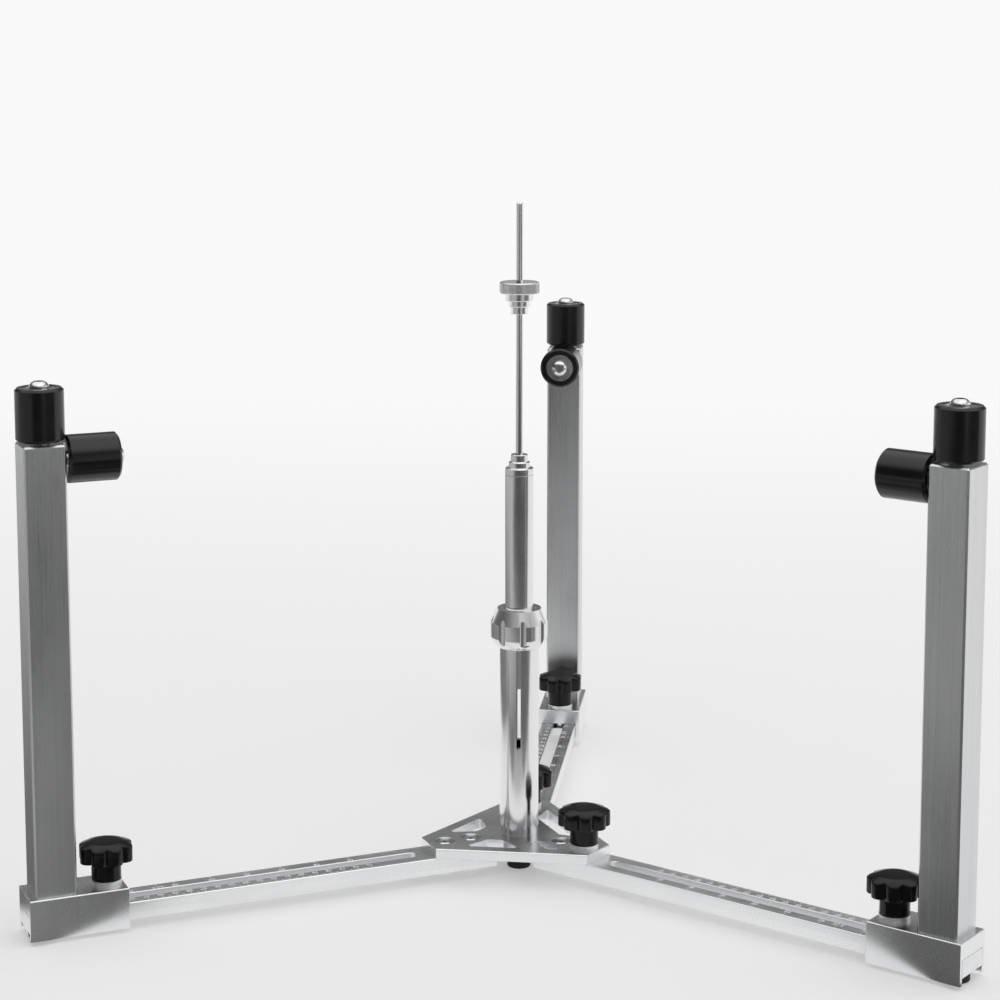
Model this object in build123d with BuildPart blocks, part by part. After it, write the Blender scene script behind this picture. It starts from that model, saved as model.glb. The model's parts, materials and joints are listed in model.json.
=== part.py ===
"""Folding wheel building table: three slotted arms under a hub plate, a roller post on each arm,
and a telescopic column that carries a spindle with two stepped centring cones.

Millimetres. Z is up, and the origin is on the floor, on the column's axis.
"""
import os
from math import cos, radians, sin

from build123d import *

os.makedirs("parts", exist_ok=True)

# Directions of the arms, in degrees from X, and of the column's slit
left_azimuth = 210
right_azimuth = 330
rear_azimuth = 90
slit_azimuth = -85

# Fits: gap on each side of a piece
running_fit = 0.05  # a shaft or bearing that turns
thread_fit = 0.05  # a thread in its tapped hole
rod_fit = 0.1  # the inner rod in the column tube
slide_fit = 0.2  # a slider on its arm
bolt_fit = 0.3  # a bolt in a clearance hole

# Rubber feet
foot_height = 7.5
foot_radius = 8.5
foot_edge = 1.5
foot_inset = 10.5
foot_peg_radius = 3
foot_peg_length = 5

# Arm bars
bar_width = 28
bar_thickness = 12
bar_inner_reach = 23
bar_edge = 0.5
slot_width = 9
slot_edge = 0.4
slot_inner_reach = 80
slot_end_room = 3
slot_lip = 5
tee_width = 16.5
tee_end_room = 5

# Hub plate
plate_thickness = 7
plate_reach = 70
plate_end_width = 28
plate_edge = 0.6
window_rim = 9
window_depth = 15
window_tip = 34  # from a side's middle to the windows' ends, at the rim
window_shoulder = 20  # the same at the windows' inner edge
window_corner = 2
rib_start = 4.5  # from a side's middle to its slanting rib, at the rim
rib_lean = 13
rib_width = 20
pivot_reach = 37.5
lock_reach = 57.5
dowel_radius = 1.2
dowel_depth = 4
dowel_reach = 30
dowel_azimuth = -67.5

# Screws that hold the arms
screw_radius = 3
screw_head_radius = 5.25
screw_head_height = 3.3
screw_key = 4
screw_sink_radius = 7.25
screw_sink_depth = 4
screw_tip = 1
nut_flats = 10
nut_height = 5

# Column tube and its screw
tube_radius = 14
tube_length = 159.5
tube_floor = 14
slit_width = 3
slit_length = 95
column_screw_radius = 3
column_screw_head_radius = 5
column_screw_head_height = 6
column_screw_grip = 10

# Collet nut
collet_radius = 20.2
collet_height = 28
collet_cap = 5.5
collet_mouth_radius = 15.2
collet_top_radius = 15.6
collet_lower_bevel = 7.5
collet_lower_bulge = 1.2
collet_upper_bevel = 10
collet_countersink = 1.8
flute_count = 8
flute_radius = 3.2
flute_reach = 21.6
flute_start_azimuth = 14

# Inner rod, spindle, cones and thumb nut
rod_radius = 10
rod_length = 154
rod_overlap = 52
spindle_radius = 2.5
spindle_length = 212.5
spindle_grip = 20
spindle_tip = 0.6
cone_wide_radius = 10
cone_middle_radius = 7.5
cone_narrow_radius = 6
cone_wide_height = 5
cone_middle_height = 4.3
cone_narrow_height = 5.3
cone_edge = 0.4
hub_gap = 100
thumb_radius = 14
thumb_height = 8
thumb_edge = 0.8

# Slider blocks
post_reach = 340
block_outer = 18.5
block_inner = 48.5
block_wall = 3
block_roof = 11.3
block_clear = 3
block_edge = 0.6

# Posts and the screws under them
post_side = 28
post_length = 303
post_edge = 1.2
post_screw_radius = 2.5
post_screw_head_radius = 4.25
post_screw_head_height = 5
post_screw_spacing = 16
post_screw_grip = 16
post_screw_sink = 5.5

# Rollers with their bearings, bolts and spacers
roller_radius = 16
roller_length = 35
roller_edge = 1.5
roller_bore_radius = 9
side_roller_drop = 11.7
spacer_height = 2
spacer_radius = 6
bearing_radius = 11
bearing_width = 7
bearing_inset = 0.3
bearing_race = 2
shield_depth = 0.4
bolt_radius = 4
bolt_head_radius = 6.5
bolt_head_height = 4.4
bolt_key = 5
bolt_key_depth = 2.4
top_bolt_grip = 20
bolt_wall = 1.5

# Star knobs with their studs, washers and tee nuts
knob_radius = 18.5
knob_hub_radius = 10
knob_hub_height = 13
knob_lobe_height = 10.3
knob_dome = 3
knob_edge = 0.8
lobe_count = 8
lobe_corner = 1.8
scallop_radius = 2.6
scallop_reach = 18.3
stud_radius = 4
stud_in_knob = 14
clamp_offset = 37
washer_height = 3
washer_radius = 10.3
tee_nut_length = 16
tee_nut_height = 6
tee_nut_gap = 0.1

# Heights and reaches that follow from them
bar_top = foot_height + bar_thickness
plate_top = bar_top + plate_thickness
tube_top = plate_top + tube_length
collet_top = tube_top + collet_cap
rod_bottom = tube_top - rod_overlap
rod_top = rod_bottom + rod_length
cone_height = cone_wide_height + cone_middle_height + cone_narrow_height
upper_cone_bottom = rod_top + cone_height + hub_gap
thumb_bottom = upper_cone_bottom + cone_height
block_underside = bar_top + slide_fit
block_top = block_underside + block_roof
block_half_width = bar_width / 2 + slide_fit + block_wall
post_top = block_top + post_length
bar_outer_reach = post_reach + block_outer
clamp_reach = post_reach - clamp_offset
slot_outer_reach = clamp_reach + slot_width / 2 + slot_end_room
bearing_pocket = bearing_width + bearing_inset
roller_grip = roller_length - 2 * bearing_inset
side_bolt_grip = post_side / 2 - bolt_radius - bolt_wall


def outwards(azimuth):
    """Unit direction of an arm, away from the column."""
    return Vector(cos(radians(azimuth)), sin(radians(azimuth)), 0)


def level(azimuth, reach, height):
    """Level plane over an arm's centre line: X runs out along the arm and Z is up."""
    out = outwards(azimuth)
    return Plane(origin=out * reach + Vector(0, 0, height), x_dir=out, z_dir=(0, 0, 1))


def across(azimuth, reach, height):
    """Plane square to an arm, facing away from the column: X across the arm and Y up."""
    out = outwards(azimuth)
    return Plane(origin=out * reach + Vector(0, 0, height), x_dir=(-out.Y, out.X, 0), z_dir=out)


def facing_column(azimuth, reach, height):
    """Plane square to an arm, facing the column: X across the arm and Y up."""
    out = outwards(azimuth)
    return Plane(origin=out * reach + Vector(0, 0, height), x_dir=(out.Y, -out.X, 0), z_dir=-out)


def lengthwise(base):
    """Plane through the axis of a base plane: X as the base's and Y along its axis."""
    return Plane(origin=base.origin, x_dir=base.x_dir, z_dir=-base.y_dir)


def save(piece, name):
    """Label a finished piece and write it to its own file."""
    piece.part.label = name
    export_step(piece.part, f"parts/{name}.step")


def add_disc(base, height, radius, hole_radius=0, mode=Mode.ADD):
    """Add or cut a disc or ring on a base plane, in the part that is being built."""
    with BuildSketch(base) as disc:
        Circle(radius)
        if hole_radius:
            Circle(hole_radius, mode=Mode.SUBTRACT)
    extrude(disc.sketch, amount=height, mode=mode)


def cut_hole(base, depth, radius):
    """Cut a round hole down its base plane's axis."""
    add_disc(base, depth, radius, mode=Mode.SUBTRACT)


def add_button_screw(seat, length, radius, head_radius, head_height, key, key_depth):
    """Add a button head screw: the head rises from the seat plane and the shank goes below it."""
    add_disc(seat.offset(-length), length, radius)
    with BuildSketch(lengthwise(seat)) as head:
        with BuildLine():
            foot = Line((0, 0), (head_radius, 0))
            rim = Line(foot @ 1, (head_radius, head_height / 4))
            crown = ThreePointArc(
                rim @ 1, (head_radius * 0.8, head_height * 0.75), (head_radius / 2, head_height)
            )
            Polyline(crown @ 1, (0, head_height), (0, 0))
        make_face()
    revolve(head.sketch, axis=Axis(seat.origin, seat.z_dir))
    with BuildSketch(seat.offset(head_height - key_depth)) as socket:
        RegularPolygon(key / 2, 6, major_radius=False)
    extrude(socket.sketch, amount=key_depth, mode=Mode.SUBTRACT)


def make_arm(azimuth, hole_reaches, hole_gap):
    """Flat bar with screw holes, a long slot, a wider channel under it and a foot's hole."""
    with BuildPart() as arm:
        with BuildSketch(level(azimuth, bar_inner_reach, foot_height)):
            Rectangle(bar_outer_reach - bar_inner_reach, bar_width, align=(Align.MIN, Align.CENTER))
        extrude(amount=bar_thickness)
        chamfer(arm.faces().sort_by(Axis.Z)[-1].edges(), bar_edge)
        slot_middle = (slot_inner_reach + slot_outer_reach) / 2
        slot_length = slot_outer_reach - slot_inner_reach
        with BuildSketch(level(azimuth, slot_middle, foot_height)):
            SlotOverall(slot_length, slot_width)
        extrude(amount=bar_thickness, mode=Mode.SUBTRACT)
        chamfer(arm.faces().sort_by(Axis.Z)[-1].inner_wires()[0].edges(), slot_edge)
        with BuildSketch(level(azimuth, slot_middle, foot_height)):
            Rectangle(slot_length + 2 * tee_end_room, tee_width)
        extrude(amount=bar_thickness - slot_lip, mode=Mode.SUBTRACT)
        for reach in hole_reaches:
            cut_hole(level(azimuth, reach, foot_height), bar_thickness, screw_radius + hole_gap)
        foot_seat = level(azimuth, bar_outer_reach - foot_inset, foot_height)
        cut_hole(foot_seat, foot_peg_length + bolt_fit, foot_peg_radius + thread_fit)
    return arm


def make_arm_foot(azimuth):
    """Push-in rubber foot: a rounded disc with a peg that grips in the bar."""
    with BuildPart() as foot:
        reach = bar_outer_reach - foot_inset
        add_disc(level(azimuth, reach, 0), foot_height, foot_radius)
        fillet(foot.edges().sort_by(Axis.Z)[0], foot_edge)
        add_disc(level(azimuth, reach, foot_height), foot_peg_length, foot_peg_radius)
    return foot


def make_star_knob(base):
    """Lobed knob on a round hub, domed on top, with a blind hole for its stud."""
    lobe_top = knob_hub_height + knob_lobe_height
    knob_top = lobe_top + knob_dome
    blank_radius = knob_radius + knob_edge
    with BuildPart() as knob:
        with BuildSketch(lengthwise(base)):
            with BuildLine():
                side = Polyline(
                    (knob_hub_radius, knob_top),
                    (0, knob_top),
                    (0, 0),
                    (knob_hub_radius - knob_edge, 0),
                    (knob_hub_radius, knob_edge),
                    (knob_hub_radius, knob_hub_height),
                    (blank_radius, knob_hub_height),
                    (blank_radius, lobe_top),
                )
                dome_middle = ((blank_radius + knob_hub_radius) / 2, lobe_top + knob_dome * 0.72)
                ThreePointArc(side @ 1, dome_middle, side @ 0)
            make_face()
        revolve(axis=Axis(base.origin, base.z_dir))
        with BuildSketch(base.offset(-knob_edge)) as star:
            Circle(knob_radius)
            with PolarLocations(scallop_reach, lobe_count, start_angle=180 / lobe_count):
                Circle(scallop_radius, mode=Mode.SUBTRACT)
            fillet(star.vertices(), lobe_corner)
        extrude(star.sketch, amount=knob_top + 2 * knob_edge, mode=Mode.INTERSECT)
        cut_hole(base, stud_in_knob, stud_radius + thread_fit)
    return knob


def make_stepped_cone(narrow_end):
    """Centring cone of three steps, the narrow one on its base plane, bored for the spindle."""
    with BuildPart() as cone:
        add_disc(narrow_end, cone_narrow_height, cone_narrow_radius)
        middle = narrow_end.offset(cone_narrow_height)
        add_disc(middle, cone_middle_height, cone_middle_radius)
        add_disc(middle.offset(cone_middle_height), cone_wide_height, cone_wide_radius)
        chamfer(cone.edges().filter_by(GeomType.CIRCLE), cone_edge)
        cut_hole(narrow_end, cone_height, spindle_radius + running_fit)
    return cone


def make_slider_block(azimuth):
    """Saddle that straddles its arm, with sunk holes for the post's screws and one for the stud."""
    inner_half = bar_width / 2 + slide_fit
    length = block_inner + block_outer
    with BuildPart() as block:
        with BuildSketch(across(azimuth, post_reach - block_inner, block_clear)):
            Rectangle(2 * block_half_width, block_top - block_clear, align=(Align.CENTER, Align.MIN))
            Rectangle(
                2 * inner_half,
                block_underside - block_clear,
                align=(Align.CENTER, Align.MIN),
                mode=Mode.SUBTRACT,
            )
        extrude(amount=length)
        chamfer(block.faces().sort_by(Axis.Z)[-1].edges(), block_edge)
        for reach in post_screw_reaches():
            seat = level(azimuth, reach, block_underside)
            cut_hole(seat, block_roof, post_screw_radius + bolt_fit)
            cut_hole(seat, post_screw_sink, post_screw_head_radius + bolt_fit)
        cut_hole(level(azimuth, clamp_reach, block_underside), block_roof, stud_radius + bolt_fit)
    return block


def post_screw_reaches():
    """Reaches of the two screws that hold a post on its block."""
    return (post_reach - post_screw_spacing / 2, post_reach + post_screw_spacing / 2)


def make_post(azimuth):
    """Square post with tapped holes for its two foot screws and its two roller bolts."""
    with BuildPart() as post:
        with BuildSketch(level(azimuth, post_reach, block_top)):
            Rectangle(post_side, post_side)
        extrude(amount=post_length)
        chamfer(post.edges().filter_by(Axis.Z), post_edge)
        chamfer(post.faces().sort_by(Axis.Z)[-1].edges(), post_edge)
        for reach in post_screw_reaches():
            cut_hole(level(azimuth, reach, block_top), post_screw_grip, post_screw_radius + thread_fit)
        top_seat, side_seat = roller_seats(azimuth)
        cut_hole(top_seat.offset(-top_bolt_grip), top_bolt_grip, bolt_radius + thread_fit)
        cut_hole(side_seat.offset(-side_bolt_grip), side_bolt_grip, bolt_radius + thread_fit)
    return post


def roller_seats(azimuth):
    """Faces of a post that carry its rollers: the top, and the side towards the column."""
    top_seat = level(azimuth, post_reach, post_top)
    side_seat = facing_column(azimuth, post_reach - post_side / 2, post_top - side_roller_drop)
    return top_seat, side_seat


def make_post_screws(azimuth):
    """Socket head screws that go up through the block into the post."""
    with BuildPart() as screws:
        for reach in post_screw_reaches():
            seat = level(azimuth, reach, block_underside + post_screw_sink)
            shank = block_roof - post_screw_sink + post_screw_grip - bolt_fit
            add_disc(seat, shank, post_screw_radius)
            add_disc(seat.offset(-post_screw_head_height), post_screw_head_height, post_screw_head_radius)
    return screws


def make_roller(seat):
    """Roller with a bearing pocket in each end, held off its seat by a spacer."""
    base = seat.offset(spacer_height - bearing_inset)
    with BuildPart() as roller:
        add_disc(base, roller_length, roller_radius)
        chamfer(roller.edges().filter_by(GeomType.CIRCLE), roller_edge)
        cut_hole(base, roller_length, roller_bore_radius)
        cut_hole(base, bearing_pocket, bearing_radius + running_fit)
        far_pocket = base.offset(roller_length - bearing_pocket)
        cut_hole(far_pocket, bearing_pocket, bearing_radius + running_fit)
    return roller


def add_bearing(base):
    """Ball bearing as one ring, its shields set back between the two races."""
    add_disc(base, bearing_width, bearing_radius, bolt_radius + thread_fit)
    shield_outer = bearing_radius - bearing_race
    shield_inner = bolt_radius + bearing_race
    for face in (base, base.offset(bearing_width - shield_depth)):
        add_disc(face, shield_depth, shield_outer, shield_inner, mode=Mode.SUBTRACT)


def make_roller_bearings(azimuth):
    """The two bearings of each of a post's two rollers."""
    with BuildPart() as bearings:
        for seat in roller_seats(azimuth):
            add_bearing(seat.offset(spacer_height))
            add_bearing(seat.offset(spacer_height + roller_grip - bearing_width))
    return bearings


def make_roller_spacers(azimuth):
    """Rings between the post and the inner race of each roller's first bearing."""
    with BuildPart() as spacers:
        for seat in roller_seats(azimuth):
            add_disc(seat, spacer_height, spacer_radius, bolt_radius + thread_fit)
    return spacers


def make_roller_bolts(azimuth):
    """Button head bolts on which the two rollers turn."""
    with BuildPart() as bolts:
        for seat, grip in zip(roller_seats(azimuth), (top_bolt_grip, side_bolt_grip)):
            add_button_screw(
                seat.offset(spacer_height + roller_grip),
                spacer_height + roller_grip + grip,
                bolt_radius,
                bolt_head_radius,
                bolt_head_height,
                bolt_key,
                bolt_key_depth,
            )
    return bolts


def make_stud(azimuth, reach, bottom, knob_base):
    """Plain stud from its lower end up into a knob."""
    with BuildPart() as stud:
        add_disc(level(azimuth, reach, bottom), knob_base + stud_in_knob - bottom, stud_radius)
    return stud


def make_tee_nut(azimuth):
    """Rectangular nut that slides in the channel under an arm's slot."""
    bottom = bar_top - slot_lip - tee_nut_gap - tee_nut_height
    with BuildPart() as nut:
        with BuildSketch(level(azimuth, clamp_reach, bottom)):
            Rectangle(tee_nut_length, tee_width - 2 * slide_fit)
            Circle(stud_radius + thread_fit, mode=Mode.SUBTRACT)
        extrude(amount=tee_nut_height)
    return nut


def plate_window(azimuth, corners):
    """Sketch of one rounded window along the plate's side that faces an azimuth."""
    with BuildSketch(level(azimuth, 0, bar_top)) as window:
        with BuildLine():
            Polyline(*corners, close=True)
        make_face()
        fillet(window.vertices(), window_corner)
    return window.sketch


# Hub plate: a triangle with cut corners, a window along each side and sunk screw holes. A slanting rib
# divides the windows on the two sides that meet at the fixed arm.
with BuildPart() as hub_plate:
    with BuildSketch(Plane.XY.offset(bar_top)):
        with BuildLine():
            corners = []
            for azimuth in (left_azimuth, right_azimuth, rear_azimuth):
                end = level(azimuth, plate_reach, bar_top)
                for side in (-1, 1):
                    corner = end.from_local_coords(Vector(0, side * plate_end_width / 2, 0))
                    corners.append((corner.X, corner.Y))
            Polyline(*corners, close=True)
        make_face()
    extrude(amount=plate_thickness)
    chamfer(hub_plate.faces().sort_by(Axis.Z)[-1].edges(), plate_edge)
    rim = plate_reach * cos(radians(60)) + plate_end_width / 2 * sin(radians(60)) - window_rim
    inner = rim - window_depth
    undivided = ((rim, -window_tip), (rim, window_tip), (inner, window_shoulder), (inner, -window_shoulder))
    windows = [plate_window(right_azimuth + 60, undivided)]
    for azimuth, fixed in ((left_azimuth + 60, -1), (left_azimuth - 60, 1)):
        rib_rim = -fixed * rib_start
        rib_inner = fixed * (rib_lean - rib_start)
        near_window = (
            (rim, fixed * window_tip),
            (inner, fixed * window_shoulder),
            (inner, rib_inner),
            (rim, rib_rim),
        )
        far_window = (
            (rim, rib_rim - fixed * rib_width),
            (inner, rib_inner - fixed * rib_width),
            (inner, -fixed * window_shoulder),
            (rim, -fixed * window_tip),
        )
        windows += [plate_window(azimuth, near_window), plate_window(azimuth, far_window)]
    for window in windows:
        extrude(window, amount=plate_thickness, mode=Mode.SUBTRACT)
    for azimuth, reach in (
        (left_azimuth, pivot_reach),
        (left_azimuth, lock_reach),
        (right_azimuth, pivot_reach),
        (rear_azimuth, pivot_reach),
    ):
        cut_hole(level(azimuth, reach, bar_top), plate_thickness, screw_radius + bolt_fit)
        cut_hole(level(azimuth, reach, plate_top - screw_sink_depth), screw_sink_depth, screw_sink_radius)
    for azimuth in (right_azimuth, rear_azimuth):
        cut_hole(level(azimuth, lock_reach, bar_top), plate_thickness, stud_radius + running_fit)
    cut_hole(Plane.XY.offset(bar_top), plate_thickness, column_screw_radius + bolt_fit)
    cut_hole(level(dowel_azimuth, dowel_reach, plate_top - dowel_depth), dowel_depth, dowel_radius)
save(hub_plate, "hub_plate")

# Screws and nuts that hold the arms: two on the fixed arm and one pivot on each folding arm
screw_places = (
    (left_azimuth, pivot_reach),
    (left_azimuth, lock_reach),
    (right_azimuth, pivot_reach),
    (rear_azimuth, pivot_reach),
)
with BuildPart() as arm_screws:
    for azimuth, reach in screw_places:
        screw_seat = level(azimuth, reach, plate_top - screw_sink_depth)
        add_button_screw(
            screw_seat,
            plate_thickness - screw_sink_depth + bar_thickness + nut_height + screw_tip,
            screw_radius,
            screw_head_radius,
            screw_head_height,
            screw_key,
            screw_head_height / 2,
        )
save(arm_screws, "arm_screws")

with BuildPart() as arm_nuts:
    for azimuth, reach in screw_places:
        with BuildSketch(level(azimuth, reach, foot_height - nut_height)):
            RegularPolygon(nut_flats / 2, 6, major_radius=False)
            Circle(screw_radius + thread_fit, mode=Mode.SUBTRACT)
        extrude(amount=nut_height)
save(arm_nuts, "arm_nuts")

# Column tube: solid at the foot, bored from the top and split so that the collet nut can close it
with BuildPart() as column_tube:
    add_disc(Plane.XY.offset(plate_top), tube_length, tube_radius)
    cut_hole(Plane.XY.offset(plate_top + tube_floor), tube_length - tube_floor, rod_radius + rod_fit)
    with BuildSketch(level(slit_azimuth, 0, tube_top - slit_length)):
        Rectangle(2 * tube_radius + slit_width, slit_width)
    extrude(amount=slit_length, mode=Mode.SUBTRACT)
    cut_hole(Plane.XY.offset(plate_top), column_screw_grip + bolt_fit, column_screw_radius + thread_fit)
save(column_tube, "column_tube")

# Screw that holds the column from below, and the rubber foot pushed over its head
with BuildPart() as column_screw:
    add_disc(Plane.XY.offset(bar_top), plate_thickness + column_screw_grip, column_screw_radius)
    screw_head_bottom = bar_top - column_screw_head_height
    add_disc(Plane.XY.offset(screw_head_bottom), column_screw_head_height, column_screw_head_radius)
save(column_screw, "column_screw")

with BuildPart() as centre_foot:
    add_disc(Plane.XY, bar_top, foot_radius)
    fillet(centre_foot.edges().sort_by(Axis.Z)[0], foot_edge)
    cut_hole(
        Plane.XY.offset(screw_head_bottom - bolt_fit),
        column_screw_head_height + bolt_fit,
        column_screw_head_radius + thread_fit,
    )
save(centre_foot, "centre_foot")

# Collet nut: a bevelled round nut with grip flutes, threaded on the tube and open for the rod
with BuildPart() as collet_nut:
    collet_base = Plane.XY.offset(collet_top - collet_height)
    collet_bore_radius = rod_radius + 2 * rod_fit
    thread_radius = tube_radius + running_fit
    thread_depth = collet_height - collet_cap + slide_fit
    with BuildSketch(lengthwise(collet_base)):
        with BuildLine():
            bulge_middle = (
                (collet_mouth_radius + collet_radius) / 2 + collet_lower_bulge / 2,
                collet_lower_bevel / 2 - collet_lower_bulge / 2,
            )
            skirt = ThreePointArc(
                (collet_mouth_radius, 0), bulge_middle, (collet_radius, collet_lower_bevel)
            )
            Polyline(
                skirt @ 1,
                (collet_radius, collet_height - collet_upper_bevel),
                (collet_top_radius, collet_height),
                (collet_bore_radius + collet_countersink, collet_height),
                (collet_bore_radius, collet_height - collet_countersink),
                (collet_bore_radius, thread_depth),
                (thread_radius, thread_depth),
                (thread_radius, 0),
                skirt @ 0,
            )
        make_face()
    revolve(axis=Axis.Z)
    with BuildSketch(collet_base):
        with PolarLocations(flute_reach, flute_count, start_angle=flute_start_azimuth):
            Circle(flute_radius)
    extrude(amount=collet_height, mode=Mode.SUBTRACT)
save(collet_nut, "collet_nut")

# Inner rod with the spindle and the lower cone on its end
with BuildPart() as inner_rod:
    add_disc(Plane.XY.offset(rod_bottom), rod_length, rod_radius)
    chamfer(inner_rod.edges().sort_by(Axis.Z)[0], cone_edge)
    cut_hole(Plane.XY.offset(rod_top - spindle_grip), spindle_grip, spindle_radius + thread_fit)
save(inner_rod, "inner_rod")

with BuildPart() as spindle:
    add_disc(Plane.XY.offset(rod_top - spindle_grip), spindle_length, spindle_radius)
    chamfer(spindle.edges().sort_by(Axis.Z)[-1], spindle_tip)
save(spindle, "spindle")

lower_cone_top = Plane(origin=(0, 0, rod_top + cone_height), x_dir=(1, 0, 0), z_dir=(0, 0, -1))
save(make_stepped_cone(lower_cone_top), "lower_cone")

# Upper cone and the thumb nut that locks it on the spindle
save(make_stepped_cone(Plane.XY.offset(upper_cone_bottom)), "upper_cone")

with BuildPart() as thumb_nut:
    add_disc(Plane.XY.offset(thumb_bottom), thumb_height, thumb_radius)
    chamfer(thumb_nut.edges().filter_by(GeomType.CIRCLE), thumb_edge)
    cut_hole(Plane.XY.offset(thumb_bottom), thumb_height, spindle_radius + running_fit)
save(thumb_nut, "thumb_nut")

# Arms: the left one is screwed fast, the other two turn on their pivot screws
save(make_arm(left_azimuth, (pivot_reach, lock_reach), bolt_fit), "left_arm")
save(make_arm(right_azimuth, (pivot_reach,), running_fit), "right_arm")
save(make_arm(rear_azimuth, (pivot_reach,), running_fit), "rear_arm")

# Lock knobs of the folding arms: each stud screws down through the plate onto its arm
with BuildPart() as lock_washers:
    for azimuth in (right_azimuth, rear_azimuth):
        washer_seat = level(azimuth, lock_reach, plate_top)
        add_disc(washer_seat, washer_height, washer_radius, stud_radius + bolt_fit)
save(lock_washers, "lock_washers")

lock_knob_base = plate_top + washer_height
for arm_name, azimuth in (("right", right_azimuth), ("rear", rear_azimuth)):
    save(make_star_knob(level(azimuth, lock_reach, lock_knob_base)), f"{arm_name}_lock_knob")
    save(make_stud(azimuth, lock_reach, bar_top, lock_knob_base), f"{arm_name}_lock_stud")

# Feet, sliders, posts, rollers and clamps, one set on each arm
clamp_knob_base = block_top + washer_height
tee_nut_bottom = bar_top - slot_lip - tee_nut_gap - tee_nut_height
for arm_name, azimuth in (("left", left_azimuth), ("right", right_azimuth), ("rear", rear_azimuth)):
    save(make_arm_foot(azimuth), f"{arm_name}_foot")
    save(make_slider_block(azimuth), f"{arm_name}_slider")
    save(make_post(azimuth), f"{arm_name}_post")
    save(make_post_screws(azimuth), f"{arm_name}_post_screws")
    top_seat, side_seat = roller_seats(azimuth)
    save(make_roller(top_seat), f"{arm_name}_top_roller")
    save(make_roller(side_seat), f"{arm_name}_side_roller")
    save(make_roller_bearings(azimuth), f"{arm_name}_bearings")
    save(make_roller_spacers(azimuth), f"{arm_name}_roller_spacers")
    save(make_roller_bolts(azimuth), f"{arm_name}_roller_bolts")
    save(make_star_knob(level(azimuth, clamp_reach, clamp_knob_base)), f"{arm_name}_clamp_knob")
    save(make_stud(azimuth, clamp_reach, tee_nut_bottom, clamp_knob_base), f"{arm_name}_clamp_stud")
    save(make_tee_nut(azimuth), f"{arm_name}_tee_nut")
    with BuildPart() as washer:
        washer_seat = level(azimuth, clamp_reach, block_top)
        add_disc(washer_seat, washer_height, washer_radius, stud_radius + bolt_fit)
    save(washer, f"{arm_name}_clamp_washer")
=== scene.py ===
"""Looks of the folding truing table: materials, scales, star knobs, thumb nut, stage and camera.

Metres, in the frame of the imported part: Z is up, the floor is at zero, the column is on the Z axis.
"""
import json
from math import cos, exp, pi, radians, sin

import bmesh
import bpy
from mathutils import Matrix, Vector


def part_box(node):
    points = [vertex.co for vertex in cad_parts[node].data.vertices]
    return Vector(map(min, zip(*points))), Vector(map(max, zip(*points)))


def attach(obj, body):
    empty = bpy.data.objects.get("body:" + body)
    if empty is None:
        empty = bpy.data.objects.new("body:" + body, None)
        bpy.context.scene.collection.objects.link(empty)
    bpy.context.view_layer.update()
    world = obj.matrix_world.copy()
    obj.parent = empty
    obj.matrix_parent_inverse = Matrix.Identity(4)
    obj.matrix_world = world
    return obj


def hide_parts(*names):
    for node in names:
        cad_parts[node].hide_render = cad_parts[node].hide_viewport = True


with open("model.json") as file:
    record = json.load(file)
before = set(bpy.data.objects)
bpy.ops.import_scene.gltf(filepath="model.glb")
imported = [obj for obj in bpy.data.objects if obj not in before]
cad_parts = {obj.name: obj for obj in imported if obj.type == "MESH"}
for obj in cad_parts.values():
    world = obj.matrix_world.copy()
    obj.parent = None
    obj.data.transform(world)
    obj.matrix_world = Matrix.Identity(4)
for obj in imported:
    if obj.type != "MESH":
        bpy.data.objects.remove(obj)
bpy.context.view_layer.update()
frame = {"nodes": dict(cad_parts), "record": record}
cad_nodes = frame["nodes"]
slot_of = {part["node"]: part["material_slot"] for part in frame["record"]["subparts"]}
scene = bpy.context.scene
mm = 0.001

# Camera, solved from the photograph as a picture of 1000 by 1000
picture_side = 1000
focal_length_pixels = 2409.5
principal_row = 350
camera_azimuth = 7.03
camera_elevation = 7.815
camera_distance = 1.6947
camera_aim_side = -0.0137
camera_aim_height = 0.3769
sensor_width_mm = 36

# Materials: the usual range of a noise, and the cosines of the rounded normal where an edge begins
# and where it is full
noise_low = 0.3
noise_high = 0.7
edge_samples = 4
edge_start_cosine = 0.995
edge_full_cosine = 0.9

# Arms: directions in degrees from X, and the body that each one is in
arm_azimuths = {"left": 210, "right": 330, "rear": 90}
arm_bodies = {"left": "base", "right": "right_arm", "rear": "rear_arm"}

# Scale on the arms: a mark's reach is the radius that it stands for, less the slider's offset
bar_half_width = 14 * mm
mark_lift = 0.03 * mm
mark_inset = 0.9 * mm
scale_offset = 32.5 * mm
scale_first_cm = 15
scale_last_cm = 32
steps_per_cm = 10
steps_per_half_cm = 5
mark_width = 0.45 * mm
fine_mark_width = 0.15 * mm
short_mark = 1.6 * mm
middle_mark = 2.5 * mm
long_mark = 3.4 * mm

# Figures of the scale, and the diameters in millimetres that the nominal sizes in inches stand for
numeral_height = 3.4 * mm
font_size_per_height = 1.4
numeral_weight = 0.13 * mm
numeral_resolution = 2
numeral_reach = 7.2 * mm
nominal_diameters = {
    "16": 305, "18": 355, "20": 406, "22": 457, "24": 507, "26": 559, "27.5": 584, "29": 622,
}
seat_margin = 6.5 * mm

# Knurled edge of the thumb nut: the cuts at the steps of one tooth
nut_edge = 0.8 * mm
nut_bore_radius = 2.55 * mm
knurl_count = 96
knurl_depth = 0.28 * mm
knurl_cuts = (0, knurl_depth, knurl_depth, 0)

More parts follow.
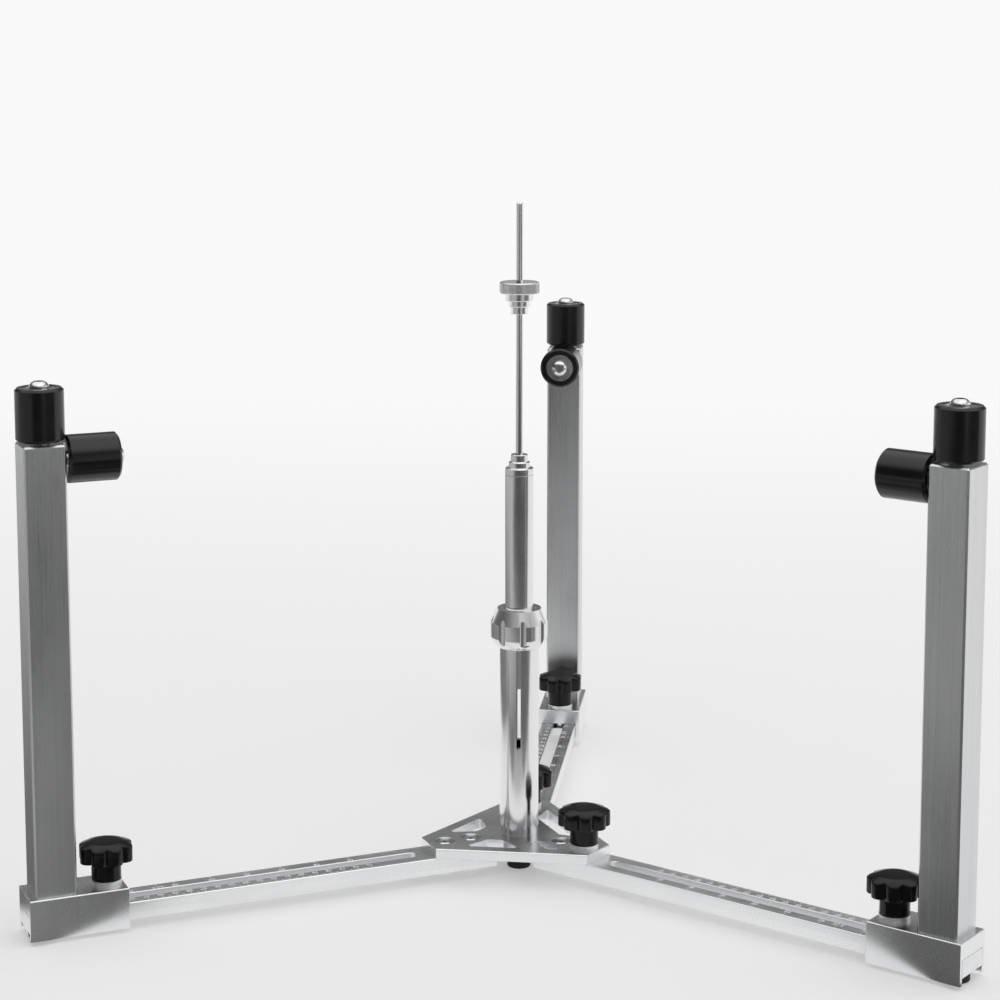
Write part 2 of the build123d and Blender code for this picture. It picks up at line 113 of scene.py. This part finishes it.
# Star knobs: a lobed head with a flat crown and sloping lobes, on a hub with a hole for its stud
knob_turns = {
    "left_clamp": 19.5, "right_clamp": 16.4, "rear_clamp": 4, "right_lock": 31, "rear_lock": 12,
}
lobe_count = 8
lobe_radius = 5.7 * mm
lobe_reach = 12.8 * mm
lobe_steps = 20
lobe_drop = 2.8 * mm
lobe_drop_power = 1.25
groove_fill = 0.5 * mm
groove_fill_angle = radians(2.2)
crown_radius = 10 * mm
crown_rise = 0.2 * mm
hub_radius = 10 * mm
hub_height = 13 * mm
hub_edge = 0.8 * mm
stud_hole_radius = 4.05 * mm
stud_hole_depth = 14 * mm
smooth_limit = radians(38)

# Rings of the knob from the stud's hole up: radius and height of the hub, inset and rise of the
# head's lower edge, inset and sink of its upper edge, and shares of its outline over the crown
hub_rings = (
    (stud_hole_radius, stud_hole_depth),
    (stud_hole_radius, 0),
    (hub_radius - hub_edge, 0),
    (hub_radius, hub_edge),
    (hub_radius, hub_height),
)
lower_edge_rings = ((0.8 * mm, 0), (0.25 * mm, 0.2 * mm), (0, 0.8 * mm))
upper_edge_rings = ((0, 0.6 * mm), (0.12 * mm, 0.25 * mm), (0.4 * mm, 0.04 * mm))
crown_shares = (0.92, 0.84, 0.76, 0.7, 0.64, 0.58, 0.52, 0.45, 0.25, 0.1)

# Levels of the room in front and behind, its walls, ceiling and floor; how much backdrop is mixed
# into the floor at the column, and how far behind it the floor is all backdrop
room_front = 0.08
room_rear = 0.15
backdrop_level = 0.95
right_wall_level = 0.8
ceiling_level = 0.98
floor_level = 0.96
floor_level_low = 0.95
floor_level_high = 0.97
floor_glow = 0.3
floor_glow_in_gloss = 0.7
backdrop_distance = 2.4

# Sheets of the stage: half of the floor's side, how far the cards run out, and where they end
floor_half_side = 30
card_far_end = 12
front_card_edge = -0.187
left_card_edge = -0.345


def link(node_tree, source, target):
    """Join an output socket to an input socket."""
    node_tree.links.new(source, target)


def combine(tree, operation, first, second):
    """Combine two factors, the second a socket or a number."""
    node = tree.nodes.new("ShaderNodeMath")
    node.operation = operation
    link(tree, first, node.inputs[0])
    if isinstance(second, (int, float)):
        node.inputs[1].default_value = second
    else:
        link(tree, second, node.inputs[1])
    return node.outputs["Value"]


def stretch(tree, source, start, end, low, high, interpolation="LINEAR"):
    """Stretch a factor from start..end to low..high."""
    node = tree.nodes.new("ShaderNodeMapRange")
    node.interpolation_type = interpolation
    limits = {"From Min": start, "From Max": end, "To Min": low, "To Max": high}
    for socket, value in limits.items():
        node.inputs[socket].default_value = value
    link(tree, source, node.inputs["Value"])
    return node.outputs["Result"]


def ramp(tree, source, start, end, low, high):
    """Smooth step of a factor between two levels."""
    return stretch(tree, source, start, end, low, high, "SMOOTHSTEP")


def split_axes(tree, source):
    """X, Y and Z of a vector."""
    split = tree.nodes.new("ShaderNodeSeparateXYZ")
    link(tree, source, split.inputs["Vector"])
    return [split.outputs[axis] for axis in "XYZ"]


def grey(level):
    """Neutral colour of a level."""
    return (level, level, level)


class Look:
    """One procedural material on a Principled shader, with helpers that all looks share."""

    def __init__(self, name, color, metallic, roughness):
        self.material = bpy.data.materials.new(name)
        self.material.use_nodes = True
        self.tree = self.material.node_tree
        self.shader = self.tree.nodes["Principled BSDF"]
        self.set("Base Color", (*color, 1))
        self.set("Metallic", metallic)
        self.set("Roughness", roughness)
        self.place = self.tree.nodes.new("ShaderNodeTexCoord").outputs["Object"]

    def set(self, socket, value):
        """Give an input of the shader one value all over."""
        self.shader.inputs[socket].default_value = value

    def feed(self, socket, source):
        """Drive an input of the shader from a node."""
        link(self.tree, source, self.shader.inputs[socket])

    def noise(self, per_metre, detail=3, azimuth=0):
        """Noise, turned to an azimuth, with features per metre: one count, or one for each axis."""
        counts = per_metre if isinstance(per_metre, tuple) else (per_metre,) * 3
        turn = self.tree.nodes.new("ShaderNodeMapping")
        turn.vector_type = "TEXTURE"
        turn.inputs["Rotation"].default_value = (0, 0, radians(azimuth))
        turn.inputs["Scale"].default_value = tuple(1 / count for count in counts)
        link(self.tree, self.place, turn.inputs["Vector"])
        texture = self.tree.nodes.new("ShaderNodeTexNoise")
        texture.inputs["Scale"].default_value = 1
        texture.inputs["Detail"].default_value = detail
        link(self.tree, turn.outputs["Vector"], texture.inputs["Vector"])
        return texture.outputs["Fac"]

    def spread(self, source, low, high, start=noise_low, end=noise_high):
        """Stretch a factor, a noise unless its range is given, to low..high."""
        return stretch(self.tree, source, start, end, low, high)

    def math(self, operation, first, second):
        """Combine two factors, the second a socket or a number."""
        return combine(self.tree, operation, first, second)

    def blend(self, factor, dark, light):
        """Run the base colour from dark to light by a factor."""
        node = self.tree.nodes.new("ShaderNodeMix")
        node.data_type = "RGBA"
        link(self.tree, factor, node.inputs["Factor"])
        for socket in node.inputs:
            if socket.type == "RGBA":
                socket.default_value = (*(dark if socket.name == "A" else light), 1)
        self.feed("Base Color", next(s for s in node.outputs if s.type == "RGBA"))

    def rounding(self, radius):
        """Normal that is rounded along sharp edges."""
        bevel = self.tree.nodes.new("ShaderNodeBevel")
        bevel.samples = edge_samples
        bevel.inputs["Radius"].default_value = radius
        return bevel.outputs["Normal"]

    def edges(self, radius):
        """Factor for a painted highlight that rises to one along sharp edges, and the rounded normal
        there.
        """
        rounded = self.rounding(radius)
        geometry = self.tree.nodes.new("ShaderNodeNewGeometry")
        dot = self.tree.nodes.new("ShaderNodeVectorMath")
        dot.operation = "DOT_PRODUCT"
        link(self.tree, rounded, dot.inputs[0])
        link(self.tree, geometry.outputs["Normal"], dot.inputs[1])
        edge = self.spread(dot.outputs["Value"], 0, 1, edge_start_cosine, edge_full_cosine)
        return edge, rounded

    def bump(self, height, depth, strength, normal=None):
        """Raise the surface by a height factor of a real depth."""
        node = self.tree.nodes.new("ShaderNodeBump")
        node.inputs["Strength"].default_value = strength
        node.inputs["Distance"].default_value = depth
        link(self.tree, height, node.inputs["Height"])
        if normal is not None:
            link(self.tree, normal, node.inputs["Normal"])
        self.feed("Normal", node.outputs["Normal"])


def drawn_aluminium(name, azimuth):
    """Bar drawn along an azimuth: fine straight lines, a satin finish and a little painted highlight
    along the edges.
    """
    look = Look(name, color=(0.72, 0.73, 0.74), metallic=1.0, roughness=0.3)
    lines = look.noise(per_metre=(9, 1500, 1500), azimuth=azimuth)
    broad = look.noise(per_metre=(3, 90, 90), detail=2, azimuth=azimuth)
    smudge = look.noise(per_metre=22)
    edge, rounded = look.edges(radius=0.35 * mm)
    # Paler base colour along the edges: a painted highlight.
    tone = look.math("MAXIMUM", look.spread(broad, low=0, high=0.7), edge)
    look.blend(tone, dark=(0.80, 0.81, 0.82), light=(0.92, 0.925, 0.93))
    satin = look.spread(lines, low=0.24, high=0.36)
    look.feed("Roughness", look.math("ADD", satin, look.spread(smudge, low=-0.04, high=0.06)))
    look.bump(lines, depth=0.02 * mm, strength=0.5, normal=rounded)
    return look.material


def milled_aluminium(name, azimuth=0):
    """Milled and lightly blasted block: an even satin grain, faint tool lines, soft smudges and a
    painted highlight along the edges.
    """
    look = Look(name, color=(0.72, 0.73, 0.74), metallic=1.0, roughness=0.3)
    grain = look.noise(per_metre=2600, detail=2)
    tool = look.noise(per_metre=(900, 30, 900), detail=2, azimuth=azimuth)
    smudge = look.noise(per_metre=18, detail=4)
    edge, rounded = look.edges(radius=0.7 * mm)
    # Paler base colour along the edges: a painted highlight.
    tone = look.math("MAXIMUM", look.spread(smudge, low=0.1, high=0.6), edge)
    look.blend(tone, dark=(0.80, 0.81, 0.82), light=(0.92, 0.925, 0.93))
    satin = look.spread(smudge, low=0.22, high=0.32)
    look.feed("Roughness", look.math("ADD", satin, look.spread(grain, low=-0.03, high=0.03)))
    worked = look.math("ADD", grain, look.spread(tool, low=0, high=0.6))
    look.bump(worked, depth=0.012 * mm, strength=0.45, normal=rounded)
    return look.material


def brushed_aluminium(name):
    """Square post brushed along its length: long streaks of uneven brightness, and bright edges that
    are a painted highlight.
    """
    look = Look(name, color=(0.66, 0.67, 0.68), metallic=1.0, roughness=0.32)
    fine = look.noise(per_metre=(3600, 3600, 14))
    streaks = look.noise(per_metre=(420, 420, 4), detail=4)
    smudge = look.noise(per_metre=(30, 30, 9))
    edge, rounded = look.edges(radius=0.6 * mm)
    streaked = look.spread(streaks, low=0.1, high=0.4)
    wear = look.math("ADD", streaked, look.spread(smudge, low=-0.1, high=0.2))
    # Paler base colour along the edges: a painted highlight.
    tone = look.math("MAXIMUM", wear, edge)
    look.blend(tone, dark=(0.62, 0.63, 0.64), light=(0.84, 0.845, 0.85))
    satin = look.spread(fine, low=0.24, high=0.36)
    look.feed("Roughness", look.math("ADD", satin, look.spread(smudge, low=-0.03, high=0.05)))
    worked = look.math("ADD", fine, look.spread(streaks, low=0, high=0.3))
    look.bump(worked, depth=0.012 * mm, strength=0.3, normal=rounded)
    return look.material


def polished_aluminium(name):
    """Turned and polished round piece: faint rings from the lathe and light finger marks."""
    look = Look(name, color=(0.83, 0.83, 0.84), metallic=1.0, roughness=0.1)
    rings = look.noise(per_metre=(3, 3, 2500))
    smudge = look.noise(per_metre=(45, 45, 25), detail=4)
    tone = look.spread(smudge, low=0, high=1)
    look.blend(tone, dark=(0.80, 0.80, 0.81), light=(0.87, 0.87, 0.88))
    gloss = look.spread(smudge, low=0.13, high=0.22)
    look.feed("Roughness", look.math("ADD", gloss, look.spread(rings, low=-0.02, high=0.03)))
    look.bump(rings, depth=0.004 * mm, strength=0.3, normal=look.rounding(radius=0.25 * mm))
    return look.material


def bright_steel(name):
    """Zinc plated screws, studs and bolts: a cool bright metal, a little mottled."""
    look = Look(name, color=(0.74, 0.745, 0.755), metallic=1.0, roughness=0.22)
    mottle = look.noise(per_metre=700)
    cloud = look.noise(per_metre=120, detail=2)
    look.blend(cloud, dark=(0.68, 0.69, 0.70), light=(0.82, 0.825, 0.83))
    look.feed("Roughness", look.spread(mottle, low=0.08, high=0.17))
    look.bump(mottle, depth=0.008 * mm, strength=0.35, normal=look.rounding(radius=0.2 * mm))
    return look.material


def turned_washer(name):
    """Turned aluminium washer with a blasted, even, pale finish."""
    look = Look(name, color=(0.88, 0.885, 0.89), metallic=1.0, roughness=0.45)
    grain = look.noise(per_metre=2400)
    rings = look.noise(per_metre=(40, 40, 3000), detail=2)
    look.blend(grain, dark=(0.84, 0.845, 0.85), light=(0.93, 0.935, 0.94))
    look.feed("Roughness", look.spread(rings, low=0.4, high=0.52))
    look.bump(grain, depth=0.015 * mm, strength=0.5, normal=look.rounding(radius=0.3 * mm))
    return look.material


def bearing_steel(name):
    """Ground bearing rings: a fine grain and a very thin oil film."""
    look = Look(name, color=(0.70, 0.705, 0.72), metallic=1.0, roughness=0.18)
    grain = look.noise(per_metre=1800, detail=2)
    film = look.noise(per_metre=160)
    look.blend(film, dark=(0.62, 0.625, 0.64), light=(0.78, 0.785, 0.79))
    look.feed("Roughness", look.spread(film, low=0.12, high=0.24))
    look.bump(grain, depth=0.004 * mm, strength=0.3)
    return look.material


def black_acetal(name):
    """Turned black acetal roller: glossy, with a fine grain and slightly paler edges, partly worn by
    rubbing and partly a painted highlight.
    """
    look = Look(name, color=(0.008, 0.008, 0.009), metallic=0.0, roughness=0.2)
    look.set("Specular IOR Level", 0.5)
    grain = look.noise(per_metre=1600)
    scuffs = look.noise(per_metre=60, detail=5)
    edge, rounded = look.edges(radius=0.5 * mm)
    # Paler base colour along the edges: partly wear from rubbing, partly a painted highlight.
    rubbed_and_highlit_edge = look.math("MULTIPLY", edge, 0.5)
    worn = look.spread(scuffs, low=0, high=0.3, start=0.5, end=0.8)
    tone = look.math("MAXIMUM", worn, rubbed_and_highlit_edge)
    look.blend(tone, dark=(0.004, 0.004, 0.005), light=(0.02, 0.02, 0.022))
    gloss = look.spread(scuffs, low=0.15, high=0.24)
    look.feed("Roughness", look.math("ADD", gloss, look.spread(grain, low=-0.02, high=0.02)))
    look.bump(grain, depth=0.01 * mm, strength=0.4, normal=rounded)
    return look.material


def black_bakelite(name):
    """Moulded knob: deep black gloss with slight waves, dull handling marks and paler lobe edges,
    partly worn by rubbing and partly a painted highlight.
    """
    look = Look(name, color=(0.005, 0.005, 0.006), metallic=0.0, roughness=0.14)
    look.set("Specular IOR Level", 0.25)
    wave = look.noise(per_metre=220, detail=2)
    handled = look.noise(per_metre=70, detail=4)
    edge, rounded = look.edges(radius=0.8 * mm)
    # Paler base colour along the lobes' edges: partly wear from rubbing, partly a painted highlight.
    rubbed_and_highlit_edge = look.math("MULTIPLY", edge, 0.4)
    worn = look.spread(handled, low=0, high=0.3, start=0.5, end=0.8)
    tone = look.math("MAXIMUM", worn, rubbed_and_highlit_edge)
    look.blend(tone, dark=(0.003, 0.003, 0.0035), light=(0.014, 0.014, 0.015))
    look.feed("Roughness", look.spread(handled, low=0.09, high=0.2))
    look.bump(wave, depth=0.03 * mm, strength=0.35, normal=rounded)
    return look.material


def black_rubber(name):
    """Matt rubber foot with a fine grain and a dusty bloom."""
    look = Look(name, color=(0.02, 0.02, 0.02), metallic=0.0, roughness=0.75)
    look.set("Specular IOR Level", 0.3)
    grain = look.noise(per_metre=1400)
    bloom = look.noise(per_metre=90, detail=4)
    dust = look.spread(bloom, low=0, high=1)
    look.blend(dust, dark=(0.014, 0.014, 0.014), light=(0.035, 0.035, 0.034))
    look.feed("Roughness", look.spread(bloom, low=0.65, high=0.85))
    look.bump(grain, depth=0.03 * mm, strength=0.6)
    return look.material


def laser_mark(name):
    """Frosted white mark of a laser on aluminium, a little patchy."""
    look = Look(name, color=grey(0.8), metallic=0.0, roughness=0.6)
    patch = look.noise(per_metre=1500)
    look.blend(look.spread(patch, low=0, high=1), dark=grey(0.86), light=grey(0.95))
    look.feed("Roughness", look.spread(patch, low=0.5, high=0.7))
    return look.material


def paint_cad_nodes():
    """Give every CAD node the look of its record slot.

    Arms and sliders are worked along their own azimuth, and the clamp and lock washers are turned.
    """
    looks = {
        "satin_aluminium": milled_aluminium("satin_aluminium"),
        "brushed_aluminium": brushed_aluminium("brushed_aluminium"),
        "polished_aluminium": polished_aluminium("polished_aluminium"),
        "bright_steel": bright_steel("bright_steel"),
        "bearing_steel": bearing_steel("bearing_steel"),
        "black_plastic": black_acetal("black_plastic"),
        "black_bakelite": black_bakelite("black_bakelite"),
        "black_rubber": black_rubber("black_rubber"),
    }
    washer = turned_washer("turned_washer")
    own = {"lock_washers": washer}
    for arm, azimuth in arm_azimuths.items():
        own[f"{arm}_clamp_washer"] = washer
        own[f"{arm}_arm"] = drawn_aluminium(f"{arm}_arm_aluminium", azimuth)
        own[f"{arm}_slider"] = milled_aluminium(f"{arm}_slider_aluminium", azimuth)
    for name, node in cad_nodes.items():
        material = own.get(name) or looks[slot_of[name]]
        node.data.materials.clear()
        node.data.materials.append(material)
    return looks


def new_piece(name, mesh_maker, material, body, smooth=False):
    """Finish a mesh as a piece that rides on a body."""
    mesh = bpy.data.meshes.new(name)
    mesh_maker.to_mesh(mesh)
    mesh_maker.free()
    if smooth:
        mesh.shade_smooth()
        mesh.set_sharp_from_angle(angle=smooth_limit)
    mesh.materials.append(material)
    piece = bpy.data.objects.new(name, mesh)
    scene.collection.objects.link(piece)
    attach(piece, body)
    return piece


def skin_rings(mesh_maker, rings):
    """Fill the bands between each ring of points and the next one."""
    for lower, upper in zip(rings, rings[1:]):
        for i, corner in enumerate(lower):
            j = (i + 1) % len(lower)
            mesh_maker.faces.new((corner, lower[j], upper[j], upper[i]))


def add_mark(marks, place, reach, inner, outer, width=mark_width):
    """Add one flat line across an arm, from one distance off its centre line to another."""
    left = reach - width / 2
    right = reach + width / 2
    corners = [(left, inner), (right, inner), (right, outer), (left, outer)]
    face = marks.faces.new([marks.verts.new(place @ Vector((u, v, 0))) for u, v in corners])
    face.normal_update()
    if face.normal.z < 0:
        face.normal_flip()


def add_numeral(marks, place, words, reach, across):
    """Add flat figures centred on a point of an arm's top."""
    curve = bpy.data.curves.new("numeral", "FONT")
    curve.body = words
    curve.size = numeral_height * font_size_per_height
    curve.offset = numeral_weight
    curve.resolution_u = numeral_resolution
    curve.align_x = "CENTER"
    curve.align_y = "CENTER"
    carrier = bpy.data.objects.new("numeral", curve)
    mesh = bpy.data.meshes.new_from_object(carrier)
    mesh.transform(place @ Matrix.Translation((reach, across, 0)))
    marks.from_mesh(mesh)
    bpy.data.objects.remove(carrier)
    bpy.data.curves.remove(curve)
    bpy.data.meshes.remove(mesh)


def make_scale(arm, material):
    """Centimetre scale along one edge of an arm's top, and nominal sizes along the other."""
    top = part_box(f"{arm}_arm")[1].z
    turn = Matrix.Rotation(radians(arm_azimuths[arm]), 4, "Z")
    place = Matrix.Translation((0, 0, top + mark_lift)) @ turn
    marks = bmesh.new()
    outer = bar_half_width - mark_inset
    for step in range(steps_per_cm * (scale_last_cm - scale_first_cm) + 1):
        reach = (steps_per_cm * scale_first_cm + step) * mm - scale_offset
        if step % steps_per_cm == 0:
            add_mark(marks, place, reach, outer - long_mark, outer)
            words = str(scale_first_cm + step // steps_per_cm)
            add_numeral(marks, place, words, reach, numeral_reach)
        elif step % steps_per_half_cm == 0:
            add_mark(marks, place, reach, outer - middle_mark, outer)
        else:
            add_mark(marks, place, reach, outer - short_mark, outer, fine_mark_width)
    for words, diameter in nominal_diameters.items():
        reach = diameter / 2 * mm + seat_margin - scale_offset
        add_mark(marks, place, reach, -outer, -outer + long_mark)
        add_numeral(marks, place, words, reach, -numeral_reach)
    new_piece(f"{arm}_scale", marks, material, arm_bodies[arm])


def make_thumb_nut(material):
    """Thumb nut with a straight knurl round it and turned edges, in the place of its solid."""
    low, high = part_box("thumb_nut")
    radius = high.x
    steps = len(knurl_cuts) * knurl_count
    disc = bmesh.new()
    rings = []
    for ring_radius, height, knurled in (
        (nut_bore_radius, low.z, False),
        (radius - nut_edge, low.z, False),
        (radius, low.z + nut_edge, True),
        (radius, high.z - nut_edge, True),
        (radius - nut_edge, high.z, False),
        (nut_bore_radius, high.z, False),
    ):
        ring = []
        for i in range(steps):
            angle = 2 * pi * i / steps
            r = ring_radius - (knurl_cuts[i % len(knurl_cuts)] if knurled else 0)
            ring.append(disc.verts.new((r * cos(angle), r * sin(angle), height)))
        rings.append(ring)
    skin_rings(disc, rings + rings[:1])
    bmesh.ops.recalc_face_normals(disc, faces=disc.faces)
    nut = new_piece("knurled_thumb_nut", disc, material, "thumb_nut")
    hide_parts("thumb_nut")


def lobe_outline(angle):
    """Radius of the knob's head at an angle from a lobe's middle; the grooves are rounded."""
    across = lobe_reach * sin(angle)
    radius = lobe_reach * cos(angle) + (lobe_radius**2 - across**2) ** 0.5
    to_groove = pi / lobe_count - abs(angle)
    return radius + groove_fill * exp(-((to_groove / groove_fill_angle) ** 2))


def crown_height(top, radius):
    """Height of the knob's upper face at a radius: a flat crown, then lobes that slope down."""
    if radius < crown_radius:
        return top - crown_rise * (radius / crown_radius) ** 2
    share = (radius - crown_radius) / (lobe_reach + lobe_radius - crown_radius)
    return top - crown_rise - lobe_drop * share**lobe_drop_power


def make_star_knob(name, turn, material):
    """Star knob with full lobes, in the place of its solid."""
    low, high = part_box(f"{name}_knob")
    centre = (low + high) / 2
    head_low = low.z + hub_height
    pitch = 2 * pi / lobe_count
    lobe = [lobe_outline(pitch * (i / lobe_steps - 0.5)) for i in range(lobe_steps)]
    outline = lobe * lobe_count
    profiles = [[(radius, low.z + height) for _ in outline] for radius, height in hub_rings]
    for inset, rise in lower_edge_rings:
        profiles.append([(reach - inset, head_low + rise) for reach in outline])
    for inset, sink in upper_edge_rings:
        radii = [reach - inset for reach in outline]
        profiles.append([(radius, crown_height(high.z, radius) - sink) for radius in radii])
    for share in crown_shares:
        radii = [reach * share for reach in outline]
        profiles.append([(radius, crown_height(high.z, radius)) for radius in radii])
    head = bmesh.new()
    rings = []
    for profile in profiles:
        ring = []
        for i, (radius, height) in enumerate(profile):
            angle = radians(turn) + pitch * i / lobe_steps
            place = (centre.x + radius * cos(angle), centre.y + radius * sin(angle), height)
            ring.append(head.verts.new(place))
        rings.append(ring)
    skin_rings(head, rings)
    head.faces.new(rings[0])
    head.faces.new(rings[-1])
    bmesh.ops.recalc_face_normals(head, faces=head.faces)
    body = f"{name}_knob"
    knob = new_piece(f"{name}_star_knob", head, material, body, smooth=True)
    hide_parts(f"{name}_knob")


def make_camera():
    """Camera at the photograph's place, with its picture shifted as the photograph's was."""
    azimuth = radians(camera_azimuth)
    elevation = radians(camera_elevation)
    level = cos(elevation)
    right = Vector((cos(azimuth), sin(azimuth), 0))
    back = Vector((sin(azimuth) * level, -cos(azimuth) * level, sin(elevation)))
    up = back.cross(right)
    aim = Vector((0, 0, camera_aim_height)) + right * camera_aim_side
    data = bpy.data.cameras.new("camera")
    data.sensor_width = sensor_width_mm
    data.lens = focal_length_pixels / picture_side * sensor_width_mm
    data.shift_y = principal_row / picture_side - 0.5
    camera = bpy.data.objects.new("camera", data)
    turn = Matrix((right, up, back)).transposed().to_4x4()
    camera.matrix_world = Matrix.Translation(aim + back * camera_distance) @ turn
    scene.collection.objects.link(camera)
    scene.camera = camera


def add_softbox(name, place, aim, side, power):
    """Square soft light that faces a point."""
    data = bpy.data.lights.new(name, "AREA")
    data.shape = "RECTANGLE"
    data.size = side
    data.size_y = side
    data.energy = power
    lamp = bpy.data.objects.new(name, data)
    lamp.location = place
    lamp.rotation_euler = (Vector(aim) - Vector(place)).to_track_quat("-Z", "Y").to_euler()
    scene.collection.objects.link(lamp)


def light_studio():
    """High softbox in a dim room with a pale ceiling, rear wall and patch of the right wall."""
    add_softbox("high_softbox", place=(1.2, -1.4, 3.2), aim=(0, 0, 0.1), side=4.0, power=13)
    world = bpy.data.worlds.new("studio")
    world.use_nodes = True
    scene.world = world
    tree = world.node_tree
    background = tree.nodes["Background"]
    direction = tree.nodes.new("ShaderNodeTexCoord").outputs["Generated"]
    east, north, up = split_axes(tree, direction)
    room = ramp(tree, north, start=-0.5, end=0.5, low=room_front, high=room_rear)
    rear_side = ramp(tree, north, start=0, end=0.45, low=0, high=backdrop_level - room_rear)
    rear_top = ramp(tree, up, start=0.02, end=0.16, low=1, high=0)
    right_side = ramp(tree, east, start=0.55, end=0.85, low=0, high=right_wall_level)
    right_top = ramp(tree, up, start=0.3, end=0.6, low=1, high=0)
    ceiling = ramp(tree, up, start=0.45, end=0.8, low=0, high=ceiling_level)
    walls = combine(
        tree,
        "ADD",
        combine(tree, "MULTIPLY", rear_side, rear_top),
        combine(tree, "MULTIPLY", right_side, right_top),
    )
    level = combine(tree, "ADD", combine(tree, "ADD", room, walls), ceiling)
    link(tree, level, background.inputs["Color"])
    background.inputs["Strength"].default_value = 1


def add_level_sheet(name, left, right, front, rear, height, look):
    """Level sheet of the stage, with one look."""
    mesh = bpy.data.meshes.new(name)
    corners = [(left, front), (right, front), (right, rear), (left, rear)]
    mesh.from_pydata([(x, y, height) for x, y in corners], [], [(0, 1, 2, 3)])
    mesh.materials.append(look.material)
    sheet = bpy.data.objects.new(name, mesh)
    scene.collection.objects.link(sheet)
    return sheet


def make_floor():
    """Pale floor that carries the shadow and turns into a plain backdrop behind the object."""
    look = Look("pale_floor", color=grey(floor_level), metallic=0.0, roughness=0.9)
    look.set("Specular IOR Level", 0)
    patch = look.noise(per_metre=6)
    look.blend(patch, dark=grey(floor_level_low), light=grey(floor_level_high))
    north = split_axes(look.tree, look.place)[1]
    rays = look.tree.nodes.new("ShaderNodeLightPath").outputs
    mirrored = look.math("MAXIMUM", rays["Is Glossy Ray"], rays["Is Transmission Ray"])
    behind = ramp(look.tree, north, 0, backdrop_distance, floor_glow, 1)
    behind_in_gloss = ramp(look.tree, north, 0, backdrop_distance, floor_glow_in_gloss, 1)
    seen = look.math("MULTIPLY", rays["Is Camera Ray"], behind)
    seen = look.math("MAXIMUM", seen, look.math("MULTIPLY", mirrored, behind_in_gloss))
    backdrop = look.tree.nodes.new("ShaderNodeEmission")
    backdrop.inputs["Color"].default_value = (*grey(backdrop_level), 1)
    mix = look.tree.nodes.new("ShaderNodeMixShader")
    link(look.tree, seen, mix.inputs["Fac"])
    link(look.tree, look.shader.outputs["BSDF"], mix.inputs[1])
    link(look.tree, backdrop.outputs["Emission"], mix.inputs[2])
    link(look.tree, mix.outputs["Shader"], look.tree.nodes["Material Output"].inputs["Surface"])
    side = floor_half_side
    add_level_sheet("floor", -side, side, -side, side, 0, look)


def add_card(
    name, height, left, right, front, rear, level, far_level=None, turn=0, start=0, end=1
):
    """Level card just over the floor that only gloss sees, even or shaded along a direction: a
    painted reflection on the glossy faces.
    """
    look = Look(name, color=grey(level), metallic=0.0, roughness=0.9)
    if far_level is not None:
        along = look.tree.nodes.new("ShaderNodeVectorRotate")
        along.rotation_type = "Z_AXIS"
        along.inputs["Angle"].default_value = -radians(turn)
        link(look.tree, look.place, along.inputs["Vector"])
        reach = split_axes(look.tree, along.outputs["Vector"])[0]
        distance = ramp(look.tree, reach, start, end, 0, 1)
        look.blend(distance, dark=grey(level), light=grey(far_level))
    card = add_level_sheet(name, left, right, front, rear, height, look)
    card.visible_camera = False
    card.visible_diffuse = False
    card.visible_shadow = False


def make_cards():
    """Cards in front and at the left that only gloss sees: painted dark and pale reflections on the
    metal and black plastics.
    """
    # Painted reflection, dark near the object and towards the front right, paler towards the front
    # left: the shaded fronts of the posts and sliders.
    add_card(
        "front_card", height=1 * mm,
        left=-card_far_end, right=card_far_end, front=-card_far_end, rear=front_card_edge,
        level=0.14, far_level=0.6, turn=45, start=-0.24, end=-0.6,
    )
    # Painted reflection, dark near the object and paler further left, on the faces that look to the
    # left.
    add_card(
        "left_card", height=1 * mm,
        left=-2.5, right=left_card_edge, front=front_card_edge, rear=1.5,
        level=0.2, far_level=0.6, start=-0.4, end=-1.5,
    )
    # Painted dark reflection down the middle of the column's round parts.
    add_card(
        "centre_card", height=2 * mm,
        left=-0.9, right=1.1, front=-card_far_end, rear=-0.7, level=0.07,
    )
    # Painted pale reflection from just in front of the column.
    add_card(
        "near_pale_card", height=2 * mm,
        left=-0.1, right=0.12, front=-0.3, rear=front_card_edge, level=0.6,
    )
    # Painted highlight: a pale streak on the black rollers.
    add_card(
        "pale_card", height=3 * mm,
        left=1.2, right=2.9, front=-3.4, rear=-2.2, level=0.95,
    )


looks = paint_cad_nodes()
mark_look = laser_mark("scale_mark")
for arm in arm_azimuths:
    make_scale(arm, mark_look)
make_thumb_nut(looks["polished_aluminium"])
for name, turn in knob_turns.items():
    make_star_knob(name, turn, looks["black_bakelite"])
make_floor()
make_cards()
light_studio()
make_camera()
scene.view_settings.view_transform = "Standard"
